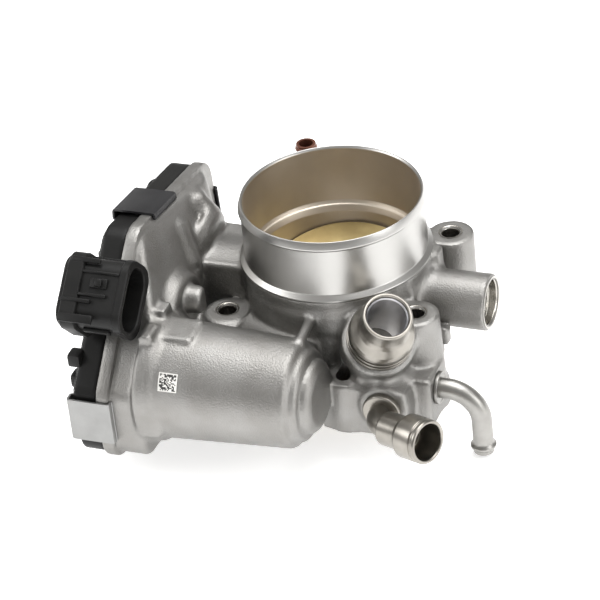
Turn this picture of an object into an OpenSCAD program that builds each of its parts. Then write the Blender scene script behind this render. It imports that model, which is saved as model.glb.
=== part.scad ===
// Electronic throttle body: cast housing with inlet collar, motor barrel and gear case, butterfly
// valve on a cross shaft, reduction gears, moulded cover with connector, vent and coolant fittings.
// Frame: origin on the bore axis at the manifold face; +Z towards the inlet, +X towards the shaft
// plug, -Y towards the drive motor. Millimetres.

/* [Bore and collar] */
// throttle bore radius
bore_r = 30; // [28:0.5:31]
// height of the inlet lip above the manifold face
crest_z = 70.4; // [66:0.2:74]
// outer radius of the turned hose collar
collar_r = 33.4; // [33:0.1:34]
// height of the throttle shaft axis
shaft_z = 31; // [30:0.5:32]

/* [Valve] */
// plate angle above horizontal at the resting, limp-home position
rest_deg = 15; // [12:1:20]
// plate angle above horizontal when shut against the bore
shut_deg = 6; // [5:1:8]
// plate thickness
plate_t = 1.6; // [1.4:0.1:2]
// shaft radius
shaft_r = 4.5; // [4:0.25:5]

/* [Drive] */
// motor axis, from the bore axis towards the front
motor_y = -55; // [-56:0.5:-55]
// motor axis height
motor_z = 20.3; // [19.8:0.1:20.8]
// motor can radius
can_r = 17.25; // [16:0.25:17.25]
// gear module
gear_m = 1; // [1:0.05:1]

/* [Case and cover] */
// plane where the cover meets the housing
part_x = -66.5; // [-67.5:0.5:-66]
// depth of the cover's side wall
cover_d = 9; // [8.5:0.5:11]

/* [Fixings] */
// bolt spacing along the shaft
bolt_dx = 73; // [72:0.5:74]
// bolt spacing across the shaft
bolt_dy = 43; // [42:0.5:45]
// bolt hole radius
bolt_hole_r = 3.4; // [3.2:0.1:3.6]
// outlet tube outer radius
tube_r = 3.75; // [3.5:0.25:4]

/* [Hidden] */
$fn = 64;
e = 0.02;                 // small overlap inside one cast piece
floor_x = -53;            // gear case floor
back_x = -50;             // outside of the gear case floor
boss_end = 58;            // end of the shaft boss
seat_z = 46.3;            // step below the inlet
motor = [motor_y, motor_z];
shaft = [0, shaft_z];
z_pin = 11;  z_big = 40;  z_small = 12;  z_sec = 52;
d_in = gear_m * (z_pin + z_big) / 2;
d_out = gear_m * (z_small + z_sec) / 2;
span = norm(motor - shaft);
along = (d_out * d_out - d_in * d_in + span * span) / (2 * span);
rise = sqrt(d_out * d_out - along * along);
dir = (motor - shaft) / span;
idler = shaft + along * dir + rise * [dir[1], -dir[0]];
to_idler = atan2(idler[1] - shaft[1], idler[0] - shaft[0]);
to_motor = atan2(motor[1] - idler[1], motor[0] - idler[0]);
// tooth phases: the sector has a tooth on the line of centres, the others follow in mesh
ph_sec = to_idler;
ph_small = to_idler + 180 - 180 / z_small;
ph_big = ph_small;
ph_pin = to_motor + 180 - (0.5 - (to_motor - ph_big) * z_big / 360) * 360 / z_pin;
// corner centres of the gear case outline, in Y and Z
case_v = [[24, 49.5], [-30, 57], [-67.5, 20], [-67.5, 4], [8, 6], [26, 24]];
vent_at = [27.8, -36.5, 34.8];   // foot of the vent nipple
vent_tilt = 34.7;              // lean of the nipple away from vertical
vent_turn = -49.5;             // direction it leans in
elbow_at = [31.1, -47.5, 12.6];
outlet_at = [46.2, -30, 12.6];
rear_at = [-26.5, 22, 45];
plug_at = [15.4, -40.6];
conn_at = [-53, -61.9, 56.9];  // centre of the connector mouth
conn_turn = 43;
lug_z = [29, 38, 45, 30];      // bolt boss heights: front left, front right, back right, back left

throttle_housing();
gear_cover();
cover_seal();
clip_front();
clip_bottom();
clip_top();
clip_back();
clip_rear();
connector_pins();
sensor_board();
throttle_shaft();
throttle_plate();
plate_screws();
far_bearing();
gear_bearing();
shaft_seal();
shaft_plug();
sector_gear();
sensor_magnet();
return_spring();
spring_sleeve();
stop_screw();
idler_gear();
idler_pin();
motor_can();
motor_magnets();
motor_end_cap();
motor_brushes();
motor_bushes();
motor_screws();
wave_washer();
armature_core();
armature_windings();
commutator();
motor_shaft();
motor_pinion();
vent_nipple();
coolant_elbow();
outlet_tube();
rear_pipe();
gallery_plug();
motor_leads();

// ---- placing helpers ----

// stands its child, drawn along +Z, along +X at a point of the YZ plane
module x_at(p, x = 0) {
    translate([x, p[0], p[1]]) rotate([0, 90, 0]) children();
}

// a cylinder along +X from x0 to x1 about a point of the YZ plane
module rod(p, x0, x1, r, r2 = undef) {
    x_at(p, x0) cylinder(h = x1 - x0, r1 = r, r2 = is_undef(r2) ? r : r2);
}

// a washer along +X
module ring(p, x0, x1, r, hole) {
    difference() {
        rod(p, x0, x1, r);
        rod(p, x0 - 1, x1 + 1, hole);
    }
}

// a flat shape given in Y and Z, as thick as x0 to x1
module yz(x0, x1) {
    translate([x0, 0, 0]) rotate([90, 0, 90]) linear_extrude(x1 - x0) children();
}

// the angle of an edge's outward normal, on an outline taken anticlockwise
function facing(a, b) = atan2(a[0] - b[0], b[1] - a[1]);

// a convex outline with round corners about the points v, taken anticlockwise
module rounded(v, r, steps = 9) {
    n = len(v);
    polygon([for (i = [0 : n - 1])
        let (from = facing(v[(i + n - 1) % n], v[i]), to = facing(v[i], v[(i + 1) % n]),
             turn = (to - from + 720) % 360)
        for (k = [0 : steps])
            v[i] + r * [cos(from + turn * k / steps), sin(from + turn * k / steps)]]);
}

// an upright box between two corners
module block(lo, hi) {
    translate(lo) cube(hi - lo);
}

// a bent round bar: up +Z from the origin, then towards +X, then straight on
module bent(r, first, bend_r, deg, last) {
    cylinder(h = first + e, r = r);
    translate([bend_r, 0, first]) rotate([-90, 0, 0]) rotate([0, 0, 180])
        rotate_extrude(angle = deg) translate([bend_r, 0]) circle(r);
    after_bend(first, bend_r, deg) translate([0, 0, -e]) cylinder(h = last + e, r = r);
}

// places its child at the end of that bend
module after_bend(first, bend_r, deg) {
    translate([bend_r * (1 - cos(deg)), 0, first + bend_r * sin(deg)]) rotate([0, deg, 0])
        children();
}

// ---- gears ----

function inv(a) = tan(a) * 180 / PI - a;
function flank(z, r) = let (rb = z * gear_m / 2 * cos(25))
    90 / z - 2.2 / z + inv(25) - (r > rb ? inv(acos(rb / r)) : 0);
function tooth(z, mid) = let (rp = z * gear_m / 2, rf = rp - 1.15 * gear_m, ra = rp + 0.9 * gear_m,
                              rs = [for (k = [0 : 6]) rf + (ra - rf) * k / 6])
    concat([for (k = [0 : 6]) rs[k] * [cos(mid - flank(z, rs[k])), sin(mid - flank(z, rs[k]))]],
           [for (k = [6 : -1 : 0]) rs[k] * [cos(mid + flank(z, rs[k])), sin(mid + flank(z, rs[k]))]]);

// full spur gear outline with one tooth centred on the angle ph
module spur(z, ph) {
    polygon([for (i = [0 : z - 1]) each tooth(z, ph + i * 360 / z)]);
}

// ---- housing ----

module bolts() {
    for (i = [0 : 3])
        translate([(i == 0 || i == 3 ? -1 : 1) * bolt_dx / 2, (i < 2 ? -1 : 1) * bolt_dy / 2, 0])
            children(0);
}

module bolt_bosses() {
    for (i = [0 : 3])
        translate([(i == 0 || i == 3 ? -1 : 1) * bolt_dx / 2, (i < 2 ? -1 : 1) * bolt_dy / 2, 0]) {
            cylinder(h = lug_z[i], r = 8.6);
            cylinder(h = lug_z[i] - 3, r1 = 10, r2 = 9.2);
        }
}

module vent_axis() {
    translate(vent_at) rotate([0, 0, vent_turn]) rotate([0, vent_tilt, 0]) children();
}

module housing_solid() {
    // turned collar on a tapering body
    rotate_extrude($fn = 128) polygon([[0, 0], [34, 0], [33.6, 30], [35.6, 42], [35.6, seat_z],
        [35.3, 46.8], [collar_r, 48.2], [collar_r, crest_z - 4.6], [collar_r + 0.7, crest_z - 3],
        [collar_r + 0.4, crest_z - 0.6], [collar_r, crest_z], [0, crest_z]]);
    // mounting flange
    linear_extrude(9) rounded([[bolt_dx / 2, bolt_dy / 2], [-bolt_dx / 2, bolt_dy / 2],
        [-bolt_dx / 2, -bolt_dy / 2], [bolt_dx / 2, -bolt_dy / 2]], 10);
    bolt_bosses();
    // gear case with its flange
    yz(-61.5, back_x) rounded(case_v, 8.2);
    yz(part_x, -61.4) rounded(case_v, 10);
    // shaft block on the gear side, shaft boss on the other
    block([back_x - 1, -11.4, 8], [-26, 16.8, 40.9]);
    rod(shaft, back_x - 1, -26, 11);
    rod(shaft, 28, boss_end, 10.5);
    block([26, -4, 6], [44, 4, 30]);
    // motor barrel and its web to the body
    rod(motor, back_x - 1, 0, 22, 19.5);
    rod(motor, -e, 4.5, 19.5, 17.5);
    rod(motor, 4.4, 7, 17.5, 16.4);
    rod(motor, 6.9, 10, 15.8, 15);
    rod(motor, 9.9, 14, 14.4, 9);
    block([back_x - 1, -47, 9], [-2, -20, 26]);
    block([-30, -42, 0], [2, -20, 30]);
    // raised pads on the barrel and the case
    block([-47, -64, 32], [-34, -48, 42.5]);
    block([-51, -65, 36], [-47, -57, 44]);
    block([back_x - 1, -76, 10], [-44, -60, 14]);
    // front lug, coolant gallery and outlet block
    block([6, -46.5, 0], [40, -22, 19.5]);
    translate([plug_at[0], plug_at[1], 0]) cylinder(h = 20.5, r = 7.6);
    translate(elbow_at) rotate([-90, 0, 0]) cylinder(h = 22, r = 9);
    block([30, -38, 0], [outlet_at[0] - 0.1, -22, 20]);
    // vent boss
    vent_axis() translate([0, 0, -24]) cylinder(h = 24, r1 = 10.5, r2 = 13.4);
    // rear pipe boss
    translate([rear_at[0], 16, rear_at[2]]) rotate([-90, 0, 0]) cylinder(h = 12, r = 6.4);
    // ribs on the case back wall
    for (y = [14, -6]) block([back_x - 1, y, 30], [-45, y + 3.5, 55]);
}

module throttle_housing() color([0.62, 0.62, 0.63]) {
    difference() {
        housing_solid();
        // air path
        translate([0, 0, -1]) cylinder(h = crest_z + 2, r = bore_r, $fn = 128);
        translate([0, 0, 43.8]) cylinder(h = 2.51, r1 = bore_r, r2 = 31, $fn = 128);
        translate([0, 0, seat_z]) cylinder(h = crest_z, r = 32.2, $fn = 128);
        translate([0, 0, crest_z - 0.9]) cylinder(h = 1, r1 = 32.2, r2 = 33.1, $fn = 128);
        translate([0, 0, -e]) cylinder(h = 2.5, r1 = bore_r + 1.5, r2 = bore_r, $fn = 128);
        // bolt holes
        bolts() translate([0, 0, -1]) cylinder(h = 60, r = bolt_hole_r);
        for (i = [0 : 3])
            translate([(i == 0 || i == 3 ? -1 : 1) * bolt_dx / 2, (i < 2 ? -1 : 1) * bolt_dy / 2,
                       lug_z[i] - 0.6]) {
                cylinder(h = 0.7, r1 = bolt_hole_r, r2 = bolt_hole_r + 0.6);
                translate([0, 0, 0.6]) cylinder(h = 20, r = 8.7);
            }
        // keep the turned collar clear of the casting round it
        difference() {
            translate([0, 0, 46.8]) cylinder(h = 40, r = 60);
            translate([0, 0, 46]) cylinder(h = 60, r = 36);
            translate([-100, -200, 40]) cube([64, 400, 60]);
            translate([-40, -120, 40]) cube([120, 80, 60]);
            translate([rear_at[0], 16, rear_at[2]]) rotate([-90, 0, 0]) cylinder(h = 13, r = 6.4);
        }
        // gear case, motor barrel
        yz(part_x - 1, floor_x) rounded(case_v, 6);
        rod(motor, floor_x - 1, 2.4, can_r + 0.25);
        // cover seal groove
        yz(part_x - 1, part_x + 1.6) difference() {
            rounded(case_v, 8.6);
            rounded(case_v, 6.8);
        }
        // shaft way: clearance, seal and bearing seats, plug bore
        rod(shaft, floor_x - 1, 46, shaft_r + 0.6);
        rod(shaft, -37, -33, 7.5);
        rod(shaft, -48, -38, 8);
        rod(shaft, floor_x - 1, -48, 9.5);
        rod(shaft, 36, 46, 7.5);
        rod(shaft, 46, boss_end + 1, 8.6);
        rod(shaft, boss_end - 0.8, boss_end + 0.01, 8.6, 9.4);
        // idler pin seat, stop screw
        rod(idler, floor_x - 1, back_x - 0.6, 2.5);
        // vent port into the bore, under the plate
        vent_axis() {
            translate([0, 0, 0.01]) cylinder(h = 9, r = 12.1);
            translate([0, 0, -6]) cylinder(h = 12, r = 10);
            translate([0, 0, -31]) cylinder(h = 34, r = 7);
        }
        // coolant gallery and its plug hole
        translate(elbow_at + [0, -1, 0]) rotate([-90, 0, 0]) cylinder(h = 18.5, r = 3);
        translate(elbow_at + [0, -1, 0]) rotate([-90, 0, 0]) cylinder(h = 6, r = 4.2);
        translate([elbow_at[0], outlet_at[1], elbow_at[2]]) rotate([0, 90, 0])
            cylinder(h = 20, r = 3);
        translate([outlet_at[0] - 6, outlet_at[1], outlet_at[2]]) rotate([0, 90, 0])
            cylinder(h = 8, r = tube_r);
        translate([plug_at[0], plug_at[1], 5]) cylinder(h = 20, r = 3.6);
        // rear pipe way into the inlet
        translate([rear_at[0], 12, rear_at[2] - 0.6]) rotate([-90, 0, 0]) cylinder(h = 20, r = 2);
        translate([rear_at[0], 23, rear_at[2]]) rotate([-90, 0, 0]) cylinder(h = 8, r = tube_r);
        // stop screw and motor screw holes
        stop_hole();
        motor_screw_at() cylinder(h = 9, r = 1.4);
    }
}

module stop_hole() {
    translate([-57.5, 6, -6]) cylinder(h = 14, r = 2.5);
}

// ---- cover ----

module gear_cover() color([0.12, 0.12, 0.13]) {
    end = part_x - cover_d;
    difference() {
        union() {
            yz(end, part_x) rounded(case_v, 8.8);
            yz(end - 1.5, end + e) rounded(case_v, 6.4);
            // domes over the gears and the motor shaft
            rod(shaft, end - 3.5, end, 19);
            rod(idler, end - 3, end, 17);
            rod(motor, end - 3, end, 12);
            rod([16, 50], end - 5, end, 6.5);
            // teeth along the front edge
            for (i = [0 : 2]) block([end - 3.4, -70, 12 + 9 * i], [end, -64, 17 + 9 * i]);
            connector_body();
        }
        yz(end + 2, part_x + 1) rounded(case_v, 6.2);
        rod(shaft, end - 1.2, end + 3, 16);
        rod(motor, end - 0.8, end + 3, 9);
        rod(idler, end - 0.5, end + 3, 2.5);
        connector_hollow();
    }
}

module conn_frame() {
    translate(conn_at) rotate([conn_turn, 0, 0]) rotate([0, -90, 0]) children();
}

// connector shell: local +Z runs from the mouth back to the closed end
module connector_body() {
    conn_frame() {
        linear_extrude(24.7) oval(25.4, 19.4, 3.6);
        linear_extrude(3) oval(27, 21, 4);
        translate([0, 0, 17]) linear_extrude(6) oval(28, 21.6, 3.6);
        // neck from the shell to the cover
        block([-15.6, -11, 13.7], [-8, 11, 22.3]);
    }
}

module connector_hollow() {
    conn_frame() translate([0, 0, -1]) linear_extrude(19.5) oval(22.6, 15, 4);
}

// w across local Y, h across local X
module oval(w, h, r) {
    rounded([[h / 2 - r, r - w / 2], [h / 2 - r, w / 2 - r], [r - h / 2, w / 2 - r],
             [r - h / 2, r - w / 2]], r);
}

module cover_seal() color([0.05, 0.05, 0.05]) {
    yz(part_x + 0.01, part_x + 1.5) difference() {
        rounded(case_v, 8.5);
        rounded(case_v, 6.9);
    }
}

// spring clip: spans the cover edge and the housing flange, hooks on both
module clip(len, hook = 2.2) {
    t = 0.8;
    lo = part_x - cover_d - 1.3 - t;
    hi = -61.5 + 0.15;
    block([lo, -len / 2, 10.15], [hi + t, len / 2, 10.15 + t]);
    block([lo, -len / 2, 10.2 - hook - 1.2], [lo + t, len / 2, 10.2 + t]);
    block([hi, -len / 2, 10.2 - hook + 1], [hi + t, len / 2, 10.2 + t]);
}

// stands a clip on the outline between two corner centres
module on_edge(i, f) {
    a = case_v[i];
    b = case_v[(i + 1) % len(case_v)];
    p = a + (b - a) * f;
    translate([0, p[0], p[1]]) rotate([atan2(b[1] - a[1], b[0] - a[0]) + 180, 0, 0]) children();
}

module clip_front() color([0.75, 0.75, 0.74]) on_edge(2, 0.42) clip(17);
module clip_bottom() color([0.75, 0.75, 0.74]) on_edge(3, 0.14) clip(14);
module clip_top() color([0.2, 0.2, 0.2]) on_edge(0, 0.68) clip(20);
module clip_back() color([0.2, 0.2, 0.2]) on_edge(5, 0.5) clip(13);
module clip_rear() color([0.75, 0.75, 0.74]) on_edge(3, 0.8) clip(14);

module connector_pins() color([0.8, 0.65, 0.3]) {
    conn_frame() for (i = [-1 : 1], j = [-1, 1])
        translate([3 * j - 0.4, 6 * i - 0.4, 7]) cube([0.8, 0.8, 11.45]);
}

module sensor_board() color([0.1, 0.35, 0.2]) {
    end = part_x - cover_d;
    difference() {
        block([end + 2.1, -12, 36], [end + 3.3, 12, 56]);
        rod(shaft, end, end + 6, 11);
    }
}

// ---- valve ----

// turns its child with the valve, which is drawn lying flat
module valve(deg = rest_deg) {
    translate([0, 0, shaft_z]) rotate([deg, 0, 0]) children();
}

module throttle_shaft() color([0.7, 0.7, 0.68]) {
    valve() difference() {
        union() {
            rotate([0, 90, 0]) translate([0, 0, -70]) cylinder(h = 115, r = shaft_r);
        }
        block([-30.15, -6, -plate_t / 2 - 0.03], [30.15, 6, plate_t / 2 + 0.03]);
        for (x = [-12, 12]) translate([x, 0, -6]) cylinder(h = 12, r = 1.55);
        for (x = [-12, 12]) translate([x, 0, 3.2]) cylinder(h = 4, r = 3.2);
    }
}

module throttle_plate() color([0.78, 0.62, 0.3]) {
    valve() difference() {
        intersection() {
            rotate([-shut_deg, 0, 0]) translate([0, 0, -20])
                cylinder(h = 40, r = bore_r - 0.08, $fn = 128);
            cylinder(h = plate_t, r = 40, center = true, $fn = 128);
        }
        for (x = [-12, 12]) translate([x, 0, -2]) cylinder(h = 4, r = 1.7);
    }
}

module plate_screws() color([0.6, 0.6, 0.62]) {
    valve() for (x = [-12, 12]) difference() {
        union() {
            translate([x, 0, -4.6]) cylinder(h = 8, r = 1.5);
            translate([x, 0, 3.25]) cylinder(h = 1.9, r1 = 3, r2 = 2.5);
        }
        translate([x - 0.35, -4, 4.3]) cube([0.7, 8, 2]);
        translate([x - 2, -0.35, 4.3]) cube([4, 0.7, 2]);
    }
}

module far_bearing() color([0.72, 0.72, 0.74]) {
    ring(shaft, 36.05, 45.9, 7.45, shaft_r + 0.05);
}

module gear_bearing() color([0.72, 0.72, 0.74]) {
    ring(shaft, -47.9, -38.05, 7.95, shaft_r + 0.05);
}

module shaft_seal() color([0.1, 0.1, 0.1]) {
    ring(shaft, -37, -33.1, 7.45, shaft_r + 0.05);
}

module shaft_plug() color([0.72, 0.72, 0.74]) {
    difference() {
        rod(shaft, 48, 54, 8.56);
        rod(shaft, 49, 55, 7.4);
    }
}

module sector_gear() color([0.85, 0.82, 0.72]) {
    x0 = -65;
    x1 = -60.5;
    rp = z_sec * gear_m / 2;
    rf = rp - 1.15 * gear_m;
    difference() {
        union() {
            rod(shaft, -68, -56, 8.2);
            translate([x0, 0, shaft_z]) rotate([90, 0, 90]) linear_extrude(x1 - x0) {
                intersection() {
                    circle(rf + 0.01);
                    polygon([[0, 0], for (a = [-84 : 4 : 28]) 40 * [cos(to_idler + a),
                             sin(to_idler + a)]]);
                }
                for (i = [-11 : 3]) polygon(tooth(z_sec, ph_sec + i * 360 / z_sec));
            }
            yz(x0 + 0.8, x1) translate(shaft) rotate(to_idler - 150) square([19, 9]);
        }
        rod(shaft, -72, -50, shaft_r + 0.02);
        for (a = [-70, -35, 0]) yz(x0 - 1, x1 + 1) translate(shaft) rotate(to_idler + a)
            translate([16, 0]) circle(3.6);
    }
}

module sensor_magnet() color([0.3, 0.3, 0.32]) {
    rod(shaft, -71.8, -70.02, 7);
    ring(shaft, -70.1, -68.03, 7, shaft_r + 0.02);
}

module return_spring() color([0.5, 0.5, 0.52]) {
    for (i = [0 : 3]) x_at(shaft, -59.3 + 1.5 * i) rotate_extrude() translate([13.5, 0])
        circle(0.7, $fn = 24);
    for (i = [0 : 2]) x_at(shaft + 13.5 * [cos(70 + 20 * i), sin(70 + 20 * i)], -59.3 + 1.5 * i)
        cylinder(h = 1.5, r = 0.5, $fn = 24);
}

module spring_sleeve() color([0.9, 0.88, 0.8]) {
    ring(shaft, floor_x - 6.4, floor_x - 0.01, 12.2, 10.4);
    ring(shaft, floor_x - 1, floor_x - 0.01, 16, 10.4);
}

module stop_screw() color([0.6, 0.6, 0.62]) {
    translate([-57.5, 6, -4.6]) difference() {
        union() {
            cylinder(h = 9, r = 2.48);
            translate([0, 0, 9]) sphere(2.2);
        }
        translate([0, 0, -1]) cylinder(h = 3, r = 1.3, $fn = 6);
    }
}

// ---- reduction gear and motor ----

module idler_gear() color([0.88, 0.86, 0.78]) {
    difference() {
        union() {
            translate([-69.5, idler[0], idler[1]]) rotate([90, 0, 90]) linear_extrude(3.5)
                spur(z_big, ph_big);
            translate([-66.01, idler[0], idler[1]]) rotate([90, 0, 90]) linear_extrude(6)
                spur(z_small, ph_small);
        }
        rod(idler, -71, -50, 2.5);
        for (i = [0 : 5]) rod(idler + 13 * [cos(60 * i), sin(60 * i)], -71, -65.4, 3.2);
    }
}

module idler_pin() color([0.7, 0.7, 0.72]) {
    rod(idler, part_x - cover_d + 1.6, back_x - 0.65, 2.44);
}

module motor_can() color([0.55, 0.56, 0.58]) {
    difference() {
        union() {
            rod(motor, -49.5, 0.4, can_r);
            rod(motor, 0.3, 2.2, 5);
        }
        rod(motor, -50.5, -0.8, can_r - 1.2);
        rod(motor, -1, 1.2, 2.9);
    }
}

module motor_magnets() color([0.25, 0.25, 0.27]) {
    difference() {
        ring(motor, -40, -6, can_r - 1.24, can_r - 4.4);
        block([-41, motor_y - 5, 0], [-5, motor_y + 5, 45]);
    }
}

module motor_end_cap() color([0.35, 0.34, 0.33]) {
    difference() {
        union() {
            rod(motor, -52.9, -49.55, can_r);
            rod(motor, -49.6, -46, can_r - 1.25);
            for (a = [0, 90]) x_at(motor, -54.2) rotate([0, 0, a]) translate([0, -5, 0])
                cube([21.2, 10, 1.15]);
            rod(motor, -55.6, -52.8, 5);
        }
        rod(motor, -60, -40, 2.9);
        rod(motor, -50.6, -45, can_r - 3);
        motor_screw_at() translate([0, 0, -4]) cylinder(h = 9, r = 1.5);
    }
}

module motor_screw_at() {
    for (a = [0, 90]) x_at(motor, floor_x - 0.05) rotate([0, 0, a]) translate([19.2, 0, 0])
        children();
}

module motor_screws() color([0.6, 0.6, 0.62]) {
    motor_screw_at() {
        translate([0, 0, -1.3]) cylinder(h = 9.2, r = 1.38);
        translate([0, 0, -3.32]) difference() {
            cylinder(h = 2.15, r = 2.6);
            translate([0, 0, -1]) cylinder(h = 2, r = 1.5, $fn = 6);
        }
    }
}

module motor_brushes() color([0.2, 0.2, 0.2]) {
    for (s = [-1, 1]) translate([0, motor_y, motor_z]) rotate([s * 90, 0, 0])
        block([-48.5, -2, 4.85], [-43.5, 2, 11.5]);
}

module motor_bushes() color([0.7, 0.5, 0.3]) {
    ring(motor, -55.5, -50.7, 2.88, 1.65);
    ring(motor, -0.95, 1.15, 2.88, 1.65);
}

module wave_washer() color([0.5, 0.5, 0.52]) {
    ring(motor, 0.5, 2.3, 14, 9);
}

module slots(grow) {
    for (i = [0 : 6]) rotate(i * 360 / 7) {
        translate([8.4, 0]) circle(1.9 + grow, $fn = 32);
        translate([8.4, -0.7 - grow]) square([6, 1.4 + 2 * grow]);
    }
}

module armature_core() color([0.5, 0.5, 0.52]) {
    translate([-38, motor_y, motor_z]) rotate([90, 0, 90]) linear_extrude(30) difference() {
        circle(12.6);
        slots(0);
        circle(1.62);
    }
}

module armature_windings() color([0.72, 0.4, 0.2]) {
    translate([-38.4, motor_y, motor_z]) rotate([90, 0, 90]) linear_extrude(30.8)
        intersection() {
            slots(-0.12);
            circle(11.4);
        }
    ring(motor, -42, -38.1, 11.2, 3.4);
    ring(motor, -7.9, -4, 11.2, 3.4);
}

module commutator() color([0.78, 0.48, 0.25]) {
    difference() {
        ring(motor, -48.5, -42.1, 4.8, 1.62);
        for (i = [0 : 6]) x_at(motor, -49) rotate([0, 0, i * 360 / 7]) translate([4.2, -0.2, 0])
            cube([2, 0.4, 6]);
    }
}

module motor_shaft() color([0.75, 0.75, 0.77]) {
    rod(motor, -70.6, 0.9, 1.6);
}

module motor_pinion() color([0.75, 0.62, 0.3]) {
    difference() {
        translate([-70, motor_y, motor_z]) rotate([90, 0, 90]) linear_extrude(4.6)
            spur(z_pin, ph_pin);
        rod(motor, -71, -60, 1.62);
    }
}

module motor_leads() color([0.8, 0.65, 0.3]) {
    for (s = [-1, 1]) block([-62, motor_y - 0.4 + 8 * s, 26], [-54.3, motor_y + 0.4 + 8 * s, 29]);
}

// ---- pipes and plugs ----

module vent_nipple() color([0.72, 0.7, 0.66]) {
    vent_axis() rotate_extrude($fn = 96) polygon([[7.4, -6], [9.97, -6], [9.97, 0.02], [11.9, 0.02],
        [11.9, 1.8], [11.2, 2], [11.2, 2.8], [11.9, 3], [11.9, 4.2], [11.2, 4.4], [11.2, 5.2],
        [11.9, 5.4], [11.7, 8], [10.4, 10], [9, 12.8], [8.4, 15.8], [8.3, 19], [8.9, 20],
        [8.9, 21], [8.5, 21.5], [7.9, 21.5], [7.4, 20.7]]);
}

module elbow_frame() {
    translate(elbow_at) rotate([90, 0, 0]) rotate([0, 0, 8]) children();
}

module coolant_elbow() color([0.72, 0.7, 0.66]) {
    elbow_frame() {
        difference() {
            union() {
                translate([0, 0, -4.9]) cylinder(h = 9.1, r = 4.17);
                cylinder(h = 2.4, r = 7.1);
            }
            translate([0, 0, -6]) cylinder(h = 12, r = 2.9);
        }
        translate([7, 0, 4]) rotate([-90, 0, 0]) rotate([0, 0, 180])
            rotate_extrude(angle = 66) translate([7, 0]) difference() {
                circle(4);
                circle(3);
            }
        after_bend(4, 7, 66) rotate_extrude() polygon([[2.9, -0.2], [4.2, -0.2], [4.2, 1], [6.2, 1],
            [6.2, 9.9], [8, 11.8], [8, 18.9], [7.4, 18.9], [7.4, 19.8], [8, 19.8], [8, 21.4],
            [6.6, 21.4], [6.6, 11], [4.9, 11], [4.9, 3], [2.9, 3]]);
    }
}

module outlet_tube() color([0.75, 0.74, 0.72]) {
    translate(outlet_at) rotate([0, 90, 0]) {
        difference() {
            union() {
                cylinder(h = 1.2, r = 6);
                translate([0, 0, -6]) cylinder(h = 9.5, r = tube_r - 0.02);
            }
            translate([0, 0, -7]) cylinder(h = 12, r = tube_r - 1);
        }
        translate([12, 0, 3.5]) rotate([-90, 0, 0]) rotate([0, 0, 180])
            rotate_extrude(angle = 90) translate([12, 0]) difference() {
                circle(tube_r - 0.02);
                circle(tube_r - 1);
            }
        after_bend(3.5, 12, 90) difference() {
            union() {
                cylinder(h = 13.3, r = tube_r - 0.02);
                translate([0, 0, 9.2]) cylinder(h = 1, r1 = tube_r - 0.1, r2 = 4.7);
                translate([0, 0, 10.1]) cylinder(h = 1.2, r = 4.7);
                translate([0, 0, 11.2]) cylinder(h = 1.6, r1 = 4.7, r2 = tube_r - 0.1);
            }
            translate([0, 0, -1]) cylinder(h = 20, r = tube_r - 1);
        }
    }
}

module rear_pipe() color([0.45, 0.24, 0.16]) {
    translate([rear_at[0], 25, rear_at[2]]) rotate([-90, 0, 0]) rotate([0, 0, -90])
        difference() {
        union() {
            cylinder(h = 4.05, r = tube_r - 0.02);
            translate([0, 0, 3.05]) cylinder(h = 1.6, r = 5.2);
            translate([0, 0, 3]) bent(tube_r - 0.02, 7, 9, 90, 8);
            translate([0, 0, 3]) after_bend(7, 9, 90) translate([0, 0, 5.5])
                cylinder(h = 1.2, r = tube_r + 0.5);
        }
        translate([0, 0, -1]) bent(tube_r - 1, 11, 9, 90, 10);
    }
}

module gallery_plug() color([0.55, 0.42, 0.25]) {
    translate([plug_at[0], plug_at[1], 5.02]) difference() {
        cylinder(h = 7, r = 3.56);
        translate([0, 0, 1]) cylinder(h = 8, r = 2.8);
    }
}
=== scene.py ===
import math

import bmesh
import bpy
import numpy as np
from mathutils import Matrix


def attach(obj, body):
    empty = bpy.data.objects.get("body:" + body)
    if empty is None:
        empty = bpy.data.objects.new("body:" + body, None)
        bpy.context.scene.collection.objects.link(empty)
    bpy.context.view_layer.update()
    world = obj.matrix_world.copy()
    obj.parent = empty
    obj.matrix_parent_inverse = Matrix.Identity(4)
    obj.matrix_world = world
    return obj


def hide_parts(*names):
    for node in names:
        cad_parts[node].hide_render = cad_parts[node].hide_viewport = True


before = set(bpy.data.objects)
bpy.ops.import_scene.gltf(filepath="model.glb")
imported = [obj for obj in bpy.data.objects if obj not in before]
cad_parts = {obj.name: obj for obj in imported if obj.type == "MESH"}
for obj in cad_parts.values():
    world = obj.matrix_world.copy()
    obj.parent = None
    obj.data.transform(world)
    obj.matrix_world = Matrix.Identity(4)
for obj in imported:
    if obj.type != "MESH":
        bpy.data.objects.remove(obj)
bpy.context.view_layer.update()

# ---- 1. housing casting ----
# One pressure die casting in aluminium: mounting flange, motor barrel, gear case, shaft block and the
# bosses for the vent and the coolant. It is grown as one skin so that its corners run together in
# fillets, then the bores and machined faces are cut with sharp edges.
MM = 0.001
BORE_R, SHAFT_Z, LIP_Z, SEAT_Z = 30.0, 31.0, 70.4, 46.3
MOTOR = (-55.0, 20.3)
CASE = [(24, 49.5), (-30, 57), (-67.5, 20), (-67.5, 4), (8, 6), (26, 24)]
VENT_FOOT = np.array([27.8, -36.5, 34.8])
VENT_WAY = np.array([0.36971748, -0.43288355, 0.82214404])
ELBOW_FOOT = np.array([31.1, -47.5, 12.6])
OUTLET_FOOT = np.array([46.2, -30.0, 12.6])
BOLT_TOPS = {(-36.5, -21.5): 29.0, (36.5, -21.5): 38.0, (36.5, 21.5): 45.0, (-36.5, 21.5): 30.0}


def lattice(lo, hi, step):
    """Coordinates of a box of sample points, in millimetres, as three arrays that broadcast."""
    axes = [np.arange(a, b + step, step, dtype=np.float32) for a, b in zip(lo, hi)]
    return axes[0][:, None, None], axes[1][None, :, None], axes[2][None, None, :]


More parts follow.
